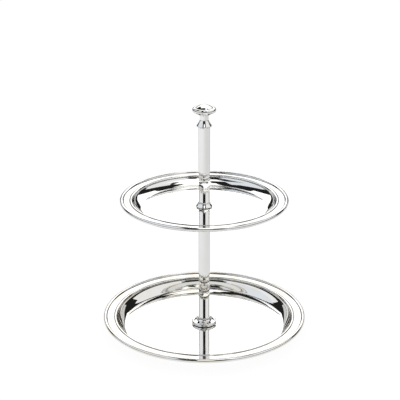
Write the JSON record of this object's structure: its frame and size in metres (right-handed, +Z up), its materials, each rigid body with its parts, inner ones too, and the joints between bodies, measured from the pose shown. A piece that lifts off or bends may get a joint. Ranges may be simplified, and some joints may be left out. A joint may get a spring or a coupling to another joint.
{
  "type": "tiered cake stand",
  "caption": "Cake stand with a large and a smaller round polished tray with rolled edges, clamped one above the other on a slim turned column with a knob on top.",
  "frame": {"origin": "centre of the four feet, on the surface that the stand rests on", "axes": "+Z up along the column; X and Y midway between neighbouring feet"},
  "size_m": [0.25, 0.25, 0.2881],
  "materials": {
    "silver_tray": "mirror-polished, very fine wiping marks",
    "silver_column": "mirror-polished drawn tube",
    "silver_knob": "turned and mirror-polished",
    "plated_steel": "bright zinc-plated",
    "spring_steel": "dark hardened spring steel",
    "insert_brass": "turned brass",
    "nylon": "natural nylon",
    "foot_rubber": "matt black rubber"
  },
  "bodies": {
    "base": {"lower_tray": "silver_tray", "rubber_feet": "foot_rubber", "base_screw": "plated_steel", "lock_washer": "spring_steel", "clamp_washer": "plated_steel", "lower_tray_bottom_gasket": "nylon"},
    "lower_gasket": {"lower_tray_top_gasket": "nylon"},
    "lower_column": {"foot_flange": "silver_column", "lower_tube": "silver_column", "lower_tube_bottom_insert": "insert_brass", "lower_tube_top_insert": "insert_brass", "joint_stud": "plated_steel", "support_washer": "plated_steel", "upper_tray_bottom_gasket": "nylon"},
    "upper_tray": {"upper_tray": "silver_tray"},
    "upper_gasket": {"upper_tray_top_gasket": "nylon"},
    "upper_column": {"upper_collar": "silver_column", "upper_tube": "silver_column", "upper_tube_bottom_insert": "insert_brass", "upper_tube_top_insert": "insert_brass"},
    "knob_washer": {"knob_washer": "nylon"},
    "knob": {"knob": "silver_knob", "knob_stud": "plated_steel"}
  },
  "joints": [
    {"name": "lower_column_rise", "type": "slide", "parent": "base", "child": "lower_gasket", "axis": [0, 0, 1], "range_m": [0, 0.008]},
    {"name": "lower_column_turn", "type": "hinge", "parent": "lower_gasket", "child": "lower_column", "pos_m": [0, 0, 0.0066], "axis": [0, 0, 1], "range_deg": [0, 2880]},
    {"name": "upper_tray_turn", "type": "hinge", "parent": "lower_column", "child": "upper_tray", "pos_m": [0, 0, 0.1616], "axis": [0, 0, 1], "continuous": true},
    {"name": "upper_column_rise", "type": "slide", "parent": "lower_column", "child": "upper_gasket", "axis": [0, 0, 1], "range_m": [0, 0.008]},
    {"name": "upper_column_turn", "type": "hinge", "parent": "upper_gasket", "child": "upper_column", "pos_m": [0, 0, 0.1622], "axis": [0, 0, 1], "range_deg": [0, 2880]},
    {"name": "knob_rise", "type": "slide", "parent": "upper_column", "child": "knob_washer", "axis": [0, 0, 1], "range_m": [0, 0.008]},
    {"name": "knob_turn", "type": "hinge", "parent": "knob_washer", "child": "knob", "pos_m": [0, 0, 0.2616], "axis": [0, 0, 1], "range_deg": [0, 2880]}
  ],
  "couplings": [
    {"joint": "lower_column_turn", "follows": "lower_column_rise", "rad_per_m": 6283.2},
    {"joint": "upper_column_turn", "follows": "upper_column_rise", "rad_per_m": 6283.2},
    {"joint": "knob_turn", "follows": "knob_rise", "rad_per_m": 6283.2}
  ]
}
